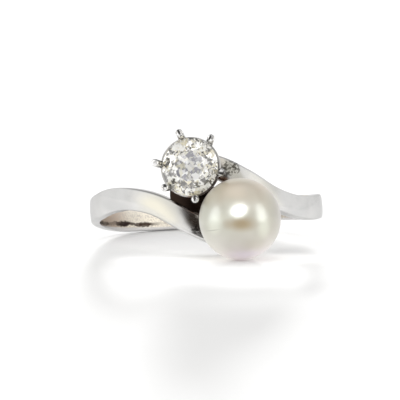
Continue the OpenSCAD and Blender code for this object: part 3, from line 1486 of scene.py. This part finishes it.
@dataclass
class PearlSetting:
    """The dish and the peg that carry the pearl, drawn from the pearl's centre."""

    place: HeadPlace = PEARL_PLACE
    inner_r: float = 3.2
    outer_r: float = 3.5
    rim_r: float = 1.5
    peg_r: float = 0.4
    peg_top: float = -0.75
    foot: float = -3.72
    peg_edge: float = 0.06
    rim_edges: tuple[float, float] = (0.04, 0.06)
    outer_start: float = 0.2
    arc_points: int = 14
    steps: int = 96

    def arc(self, radius: float, start: float, end: float) -> list[tuple[float, float]]:
        """Draws an arc about the pearl's centre.

        Args:
            radius: Its radius.
            start: Where it starts, as an angle from straight down, in radians.
            end: Where it ends.

        Returns:
            Its points.
        """
        angles = np.linspace(start, end, self.arc_points)
        return [(radius * math.sin(t), -radius * math.cos(t)) for t in angles]

    def build(self) -> Piece:
        """Turns the dish and the peg in one profile.

        Returns:
            The setting.
        """
        inner_end = math.asin(self.rim_r / self.inner_r)
        outer_end = math.asin(self.rim_r / self.outer_r)
        inside = self.arc(self.inner_r, math.asin(self.peg_r / self.inner_r), inner_end)
        outside = self.arc(self.outer_r, outer_end, self.outer_start)
        corners = zip((*inside[-2:], *outside[:2]), (0, *self.rim_edges, 0))
        rim = rounded([(*point, radius) for point, radius in corners])
        profile = [(0.0, self.peg_top), (self.peg_r - self.peg_edge, self.peg_top)]
        profile += [(self.peg_r, self.peg_top - self.peg_edge), *inside[:-1], *rim[1:-1]]
        profile += [*outside[1:], (self.peg_r, self.foot), (0.0, self.foot)]
        dish = lathe("pearl_cup", profile, self.steps)
        dish.data.transform(self.place.matrix())
        return dish

    def dress(self, finish: Material) -> None:
        """Builds the cup and gives it its finish."""
        finish_piece(self.build(), finish)


@dataclass
class Pearl:
    """The round pearl, drilled from below for its peg."""

    place: HeadPlace = PEARL_PLACE
    radius: float = 3.15
    drill_r: float = 0.45
    drill_top: float = -0.7
    rows: int = 120
    steps: int = 192

    def build(self) -> Piece:
        """Turns the pearl with its drill hole.

        Returns:
            The pearl.
        """
        mouth = math.asin(self.drill_r / self.radius)
        angles = np.linspace(mouth, math.pi, self.rows)[:-1]
        skin = [(self.radius * math.sin(t), -self.radius * math.cos(t)) for t in angles]
        hole = [(0.0, self.drill_top), (self.drill_r, self.drill_top)]
        pearl = lathe("pearl_body", [*hole, *skin, (0.0, self.radius)], self.steps)
        pearl.data.transform(self.place.matrix())
        return pearl

    def dress(self, finish: Material) -> None:
        """Builds the pearl and gives it its finish."""
        finish_piece(self.build(), finish, Node.PEARL)


@dataclass
class Diamond:
    """The old-cut diamond, whose facets the frame already holds.

    rim and flat are how much a facet faces along the stone's axis where it stops being the girdle's
    and where it is the table's.
    """

    place: HeadPlace = DIAMOND_PLACE
    rim: float = 0.1
    flat: float = 0.95

    def dress(self, table: Material, facets: Material, girdle: Material) -> None:
        """Gives the stone its finishes, facet by flat facet.

        Args:
            table: The material of the table and of the facets under the girdle.
            facets: The material of the facets round the table.
            girdle: The material of the stone's rim.
        """
        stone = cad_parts[Node.DIAMOND.value]
        stone.data.materials.clear()
        for finish in (table, facets, girdle):
            stone.data.materials.append(finish)
        stone.data.shade_flat()
        axis = np.array(POSE.turn() @ np.array(self.place.matrix().to_3x3())[:, 2])
        rise = [float(np.dot(f.normal, axis)) for f in stone.data.polygons]
        kinds = [2 if abs(r) < self.rim else int(0 < r < self.flat) for r in rise]
        stone.data.polygons.foreach_set("material_index", kinds)
        LOG.info("%s: %d faces", stone.name, len(stone.data.polygons))


# The studio


class Sees(Enum):
    """Which pieces a lamp lights."""

    ALL = "all"
    TABLE = "table"
    PEARL = "pearl_body"
    DIAMOND = "diamond"
    CLAWS = "claws"


class Casts(Enum):
    """Whether a lamp lights matt surfaces, shows on polished ones, or is bounced light."""

    LIGHT = "light"
    SHINE = "shine"
    BOUNCE = "bounce"


def towards(azimuth: float, elevation: float) -> Vector:
    """Gives a direction from the ring.

    Args:
        azimuth: 0 towards -Y, growing to the right, in degrees.
        elevation: The height above the table, in degrees.

    Returns:
        The unit vector.
    """
    a, e = math.radians(azimuth), math.radians(elevation)
    return Vector((math.sin(a) * math.cos(e), -math.cos(a) * math.cos(e), math.sin(e)))


@dataclass(frozen=True)
class Glow:
    """A soft patch of the white tent round the ring.

    azimuth is 0 towards the camera side, -Y, and grows to the right, and elevation is above the
    table. wide and tall are the patch's half sizes, all in degrees, and soft is the share of it
    that fades out. back is the cosine below which the far side of the tent stays bare.
    """

    azimuth: float
    elevation: float
    wide: float
    tall: float
    colour: Colour
    soft: float = 0.5
    back: float = 0.05

    def share(self, tree: Wiring, way: Socket) -> Socket:
        """Paints the patch.

        Args:
            tree: The world's wiring.
            way: The direction that is looked in.

        Returns:
            The patch's share of the colour.
        """
        middle = towards(self.azimuth, self.elevation)
        right = Vector((0, 0, 1)).cross(middle).normalized()
        up = middle.cross(right)
        across = tree.vector("DOT_PRODUCT", way, right / math.sin(math.radians(self.wide)))
        along = tree.vector("DOT_PRODUCT", way, up / math.sin(math.radians(self.tall)))
        flat = tree.add("CombineXYZ", {"X": across, "Y": along}).outputs["Vector"]
        inside = tree.spread(tree.vector("LENGTH", flat), 1 - self.soft, 1.0, 1.0, 0.0)
        facing = tree.spread(tree.vector("DOT_PRODUCT", way, middle), 0.0, self.back)
        return tree.number("MULTIPLY", inside, facing)


@dataclass
class Tent:
    """The white tent as the world's light: a wall that darkens towards the top, with soft patches.

    rise holds the heights, as the sine of the elevation, between which it darkens.
    """

    low: Colour = (1.0, 1.0, 1.0)
    high: Colour = (0.4, 0.4, 0.4)
    rise: tuple[float, float] = (0.5, 0.9)
    glows: Sequence[Glow] = (
        Glow(-57, 4, 34, 28, (1.42, 1.38, 1.26), 0.8),
        Glow(54, 5, 26, 28, (1.4, 1.37, 1.26), 0.8),
        Glow(25, 18, 12, 22, (0.72, 0.7, 0.63), 0.3),
        Glow(-6, 14, 24, 30, (0.04, 0.03, 0.025), 0.3),
    )

    def build(self) -> None:
        """Paints the world."""
        world = bpy.data.worlds.new("tent")
        bpy.context.scene.world = world
        world.use_nodes = True
        world.node_tree.nodes.clear()
        tree = Wiring(world.node_tree)
        way = tree.add("TexCoord", {}).outputs["Generated"]
        colour = tree.blend(tree.spread(tree.split(way)["Z"], *self.rise), self.low, self.high)
        for glow in self.glows:
            colour = tree.blend(glow.share(tree, way), colour, glow.colour)
        light = tree.add("Background", {"Color": colour})
        tree.add("OutputWorld", {"Surface": light.outputs["Background"]})


@dataclass(frozen=True)
class Lamp:
    """A soft lamp. Angles are in degrees and lengths in millimetres.

    A lamp with no distance is far away, and its size is then the angle that it fills. tall is a
    near lamp's height as a share of its width.
    """

    name: str
    azimuth: float
    elevation: float
    size: float
    power: float
    distance: float = 0.0
    sees: Sees = Sees.ALL
    casts: Casts = Casts.LIGHT
    tall: float = 1.0
    colour: Colour = (1.0, 1.0, 1.0)
    aim: Place = (0.0, 0.0, 0.0)

    def build(self) -> None:
        """Hangs the lamp."""
        back = towards(self.azimuth, self.elevation)
        data = bpy.data.lights.new(self.name, "AREA" if self.distance else "SUN")
        data.energy, data.color = self.power, self.colour
        data.use_shadow = self.casts is not Casts.BOUNCE
        if self.distance:
            data.shape = "ELLIPSE"
            data.size, data.size_y = self.size * MM, self.size * self.tall * MM
        else:
            data.angle = math.radians(self.size)
        lamp = bpy.data.objects.new(self.name, data)
        bpy.context.scene.collection.objects.link(lamp)
        lamp.location = Vector(self.aim) * MM + back * self.distance * MM
        lamp.rotation_mode = "QUATERNION"
        lamp.rotation_quaternion = back.to_track_quat("Z", "Y")
        lamp.visible_glossy = self.casts is Casts.SHINE
        lamp.visible_diffuse = self.casts is not Casts.SHINE
        lamp.visible_camera = False
        if self.sees is not Sees.ALL:
            group = bpy.data.collections.new(self.name)
            group.objects.link(bpy.data.objects[self.sees.value])
            lamp.light_linking.receiver_collection = group


PEARL_AIM = (1.5, -9.8, 3.1)
STONE_AIM = (-2.0, -12.0, 6.0)
SHINE_DISTANCE = 60
WARM, COOL = (1.0, 0.97, 0.88), (0.95, 0.95, 1.0)


def shine(
    name: str, way: tuple[float, float], size: float, power: float, sees: Sees, tall: float = 1.0
) -> Lamp:
    """Makes a lamp that shows only as a shine on one piece.

    Args:
        name: Its name.
        way: Its azimuth and elevation in degrees.
        size: Its width in millimetres.
        power: Its power.
        sees: The piece.
        tall: Its height as a share of its width.

    Returns:
        The lamp.
    """
    aim = PEARL_AIM if sees is Sees.PEARL else STONE_AIM
    return Lamp(name, *way, size, power, SHINE_DISTANCE, sees, Casts.SHINE, tall, aim=aim)


def fill(
    name: str, size: float, power: float, height: float, tall: float, aim: tuple[float, float]
) -> Lamp:
    """Makes a lamp close over the table that stands for light bounced onto the paper.

    Args:
        name: Its name.
        size: Its width in millimetres.
        power: Its power.
        height: Its height over the table in millimetres.
        tall: Its depth as a share of its width.
        aim: Where it hangs, to the right and away from the camera, in millimetres.

    Returns:
        The lamp.
    """
    return Lamp(name, 0, 90, size, power, height, Sees.TABLE, Casts.BOUNCE, tall, aim=(*aim, 0))


TABLE_LAMPS = (
    Lamp("low_back_lamp", 174.8, 5.6, 6, 13.4, sees=Sees.TABLE),
    fill("hollow_fill", 15, 0.000115, 4, 0.8, (-4, -1.5)),
    Lamp("left_pool", 0, 90, 100, 0.018, 60, Sees.TABLE, colour=WARM, aim=(-97, -52, 0)),
    fill("near_fill", 11, 0.00022, 2.5, 1.8, (0.5, -17.5)),
    fill("far_fill", 10, 0.00008, 6, 1.0, (1.5, -34)),
    fill("right_fill", 5.5, 0.00005, 1.6, 1.2, (4.9, -9.5)),
    fill("left_fill", 6, 0.00004, 2, 0.7, (-4.8, -9.0)),
)
RING_LAMPS = (
    Lamp("overhead_lamp", 180, 72, 60, 0.97),
    shine("pearl_lamp", (-12, 27), 29, 0.029, Sees.PEARL, 0.72),
    shine("pearl_high_lamp", (2, 35), 18, 0.008, Sees.PEARL),
    shine("pearl_right_lamp", (59, 4), 34, 0.017, Sees.PEARL, 2.6),
    shine("pearl_left_lamp", (-82, -5), 40, 0.016, Sees.PEARL, 2.1),
    shine("pearl_sky_lamp", (0, 72), 110, 0.016, Sees.PEARL),
    Lamp("bounce_card", 162, -66, 60, 3.3, 0, Sees.PEARL, Casts.BOUNCE, colour=COOL),
    shine("stone_lamp", (-14, 22), 24, 0.003, Sees.DIAMOND),
    shine("stone_left_lamp", (-85, 20), 34, 0.01, Sees.DIAMOND),
    shine("stone_right_lamp", (57, 20), 34, 0.01, Sees.DIAMOND),
    shine("stone_high_lamp", (-14, 82), 34, 0.01, Sees.DIAMOND),
    Lamp("stone_card", -12, 15, 60, 1.5, sees=Sees.DIAMOND, casts=Casts.BOUNCE),
    shine("claw_lamp", (-26, 24), 60, 0.009, Sees.CLAWS),
)


@dataclass
class Camera:
    """The photograph's view of the ring, measured in the ring's own axes.

    rise is how far below the head's middle plane the camera looks from, lean the tilt of the
    picture and side the turn about the finger axis, in degrees. aim is the ring's offset from the
    picture's middle, in millimetres to the right and up. lens and film are in millimetres, and
    clip holds the nearest and the farthest distance in view, in metres.
    """

    rise: float = 4.06
    lean: float = -3.5
    side: float = -4.8
    distance: float = 350.0
    aim: tuple[float, float] = (-0.478, 0.678)
    lens: float = 395.0
    film: float = 36.0
    clip: tuple[float, float] = (0.01, 20.0)

    def axes(self) -> tuple[np.ndarray, np.ndarray, np.ndarray]:
        """Works out how the camera stands.

        Returns:
            The directions to the camera, to the picture's right and to its top, on the table.
        """
        rise, lean, side = (math.radians(v) for v in (self.rise, self.lean, self.side))
        back = np.array([0, -math.cos(rise), -math.sin(rise)])
        flat, tall = np.array([1.0, 0, 0]), np.array([0, -math.sin(rise), math.cos(rise)])
        right = math.cos(lean) * flat + math.sin(lean) * tall
        up = math.cos(lean) * tall - math.sin(lean) * flat
        cos, sin = math.cos(side), math.sin(side)
        turn = POSE.turn() @ np.array([[cos, -sin, 0], [sin, cos, 0], [0, 0, 1]])
        return turn @ back, turn @ right, turn @ up

    def build(self) -> None:
        """Sets the camera up."""
        back, right, up = self.axes()
        data = bpy.data.cameras.new("camera")
        data.lens, data.sensor_width = self.lens, self.film
        data.clip_start, data.clip_end = self.clip
        camera = bpy.data.objects.new("camera", data)
        bpy.context.scene.collection.objects.link(camera)
        spot = np.array(POSE.at) + right * self.aim[0] + up * self.aim[1] + back * self.distance
        matrix = Matrix(np.stack([right, up, back], axis=1).tolist()).to_4x4()
        matrix.translation = Vector(spot * MM)
        camera.matrix_world = matrix
        bpy.context.scene.camera = camera
        LOG.info("camera %.1f degrees above the table", math.degrees(math.asin(back[2])))


@dataclass
class Studio:
    """The pale table, the tent, the lights and the camera. table_r is in metres."""

    camera: Camera = field(default_factory=Camera)
    tent: Tent = field(default_factory=Tent)
    lamps: Sequence[Lamp] = TABLE_LAMPS + RING_LAMPS
    table_r: float = 4.0
    table_sides: int = 128

    def table(self) -> None:
        """Lays the table under the ring."""
        angles = np.linspace(0, 2 * math.pi, self.table_sides + 1)[:-1]
        edge = [(math.cos(t) * self.table_r, math.sin(t) * self.table_r, 0) for t in angles]
        top = add_mesh("table", edge, [range(self.table_sides)])
        top.data.materials.append(WhitePaper().material())

    def build(self) -> None:
        """Sets up the whole studio."""
        self.table()
        self.tent.build()
        for lamp in self.lamps:
            lamp.build()
        self.camera.build()
        bpy.context.scene.view_settings.view_transform = "Standard"


# Where each finish's marks and its painted shade, highlights and reflections lie.
# Spots are in the ring's axes and patches on the table.

# Dark speckled spots; those on the right arm by the coronet paint its dark reflection.
BAND_SPOTS = (
    (1.7, -9.26, 2.3, 0.42),
    (1.6, -9.25, 2.62, 0.42),
    (1.2, -9.35, 2.4, 0.7),
    (0.75, -9.4, 2.1, 0.5),
    (-1.7, -9.3, -2.2, 0.45),
)
CLAW_SPOTS = ((-2.05, -13.4, 2.44, 3.3),)
# A dark brown speckled spot on the collet's rim below the diamond: painted shade.
RIM_SHADE_SPOTS = ((-0.6, -12.1, 0.6, 1.9),)
BAND_PAINTED_LIGHT = (
    # Grey at the left end and cream further in: painted reflections on the left arm.
    Patch((-7.7, -1.8, 3.5), (1.7, 3.0, 0.75), (0.58, 0.58, 0.575), 0.8, 0.3),
    Patch((-4.3, -4.7, 3.4), (2.4, 3.0, 1.8), (0.67, 0.657, 0.608), 0.9, 0.4),
    # Dark brown where the left arm meets the pearl: painted reflection.
    Patch((-1.7, -6.0, 2.75), (1.0, 1.5, 0.8), (0.34, 0.3, 0.24), 0.65, 0.3),
    # Pale patch under the right claw: painted highlight.
    Patch((0.45, -5.5, 7.12), (0.45, 1.6, 0.75), (0.96, 0.93, 0.9), 0.8, 0.4),
    # Dark brown in the hollow under the right claw and a dark line on the arm's upper edge: painted
    # shade.
    Patch((0.4, -5.4, 5.86), (0.75, 1.6, 0.42), (0.06, 0.027, 0.013), 0.97, 0.5),
    Patch((1.75, -5.5, 7.11), (0.8, 3.0, 0.12), (0.05, 0.05, 0.045), 0.85, 0.4, 25.0),
    # Greyer patches that darken the right arm: painted shade.
    Patch((4.25, -4.6, 5.0), (1.3, 2.5, 1.5), (0.6, 0.59, 0.56), 0.9, 0.3),
    Patch((6.8, -3.1, 2.9), (1.3, 2.0, 0.5), (0.63, 0.63, 0.625), 0.8, 0.3),
)
# Dark streaks down the claws' faces: painted dark reflections.
CLAW_DARK_REFLECTIONS = tuple(
    Patch(at, size, (0.02, 0.02, 0.018), 0.97, 0.45, lean)
    for at, size, lean in (
        ((-3.14, -8.6, 9.86), (0.12, 0.8, 0.33), -24.0),
        ((-0.79, -9.05, 9.42), (0.11, 0.8, 0.33), 26.0),
        ((-4.68, -8.45, 7.68), (0.34, 0.8, 0.1), 30.0),
        ((-4.28, -9.1, 5.76), (0.2, 0.8, 0.14), 20.0),
        ((-2.04, -9.7, 4.84), (0.09, 0.8, 0.33), 14.0),
        ((0.0, -9.7, 6.72), (0.3, 0.8, 0.15), 10.0),
    )
)
# Brown patch on the diamond's crown: painted reflection of the dark collet.
CROWN_BROWN_REFLECTION = (Patch((-0.5, -12.2, 4.3), (1.1, 1.6, 0.75), (0.32, 0.17, 0.07), 0.75, 0.3),)


def main() -> None:
    """Builds the ring piece by piece, then the studio round it."""
    logging.basicConfig(level=logging.INFO, format="%(name)s %(message)s")
    band = WhiteGold(
        "polished_white_gold",
        spots=BAND_SPOTS,
        spot_colour=(0.13, 0.125, 0.11),
        speckle=(0.41, 0.58),
        polish=0.155,
        dulled=0.25,
        patches=BAND_PAINTED_LIGHT,
    )
    setting = WhiteGold(
        "setting_white_gold", tarnish_and_shade=SETTING_TARNISH_AND_SHADE, polish=0.07, marks=2.0, seed=5.0
    ).material()
    claws = WhiteGold(
        "claw_white_gold",
        # Clean colour lighter than the band's gold: a painted highlight on the claws.
        (0.88, 0.875, 0.865),
        tarnish_and_shade=SETTING_TARNISH_AND_SHADE,
        spots=CLAW_SPOTS,
        spot_colour=(0.05, 0.045, 0.04),
        speckle=(0.5, 0.58),
        grain=3200.0,
        polish=0.07,
        marks=2.0,
        seed=5.0,
        patches=CLAW_DARK_REFLECTIONS,
    )
    milled = WhiteGold(
        "milled_white_gold",
        # Clean colour lighter than the band's gold: a painted highlight on the milled rim.
        (0.85, 0.84, 0.82),
        tarnish_and_shade=(11.8, 13.0),
        spots=RIM_SHADE_SPOTS,
        spot_colour=(0.07, 0.04, 0.03),
        speckle=(0.34, 0.46),
        polish=0.5,
        dulled=0.6,
    )
    facets = CutDiamond(
        "crown_facets",
        clear=(1.0, 0.99, 0.95),
        tinted=(0.9, 0.82, 0.58),
        dark=(0.06, 0.055, 0.045),
        shading=(1.0, 1.7),
        cell=0.36,
        clarity=0.4,
        patches=CROWN_BROWN_REFLECTION,
    )
    girdle = CutDiamond(
        "frosted_girdle", dark=(0.2, 0.18, 0.15), cell=0.35, clarity=0.2, haze=0.4
    )
    Band().dress(band.material(), InsideGold().material())
    Bridge().dress(setting)
    Coronet().dress(setting, claws.material(), milled.material())
    PearlSetting().dress(setting)
    Pearl().dress(Nacre().material())
    Diamond().dress(CutDiamond("diamond_table").material(), facets.material(), girdle.material())
    Studio().build()


if __name__ == "__main__":
    main()
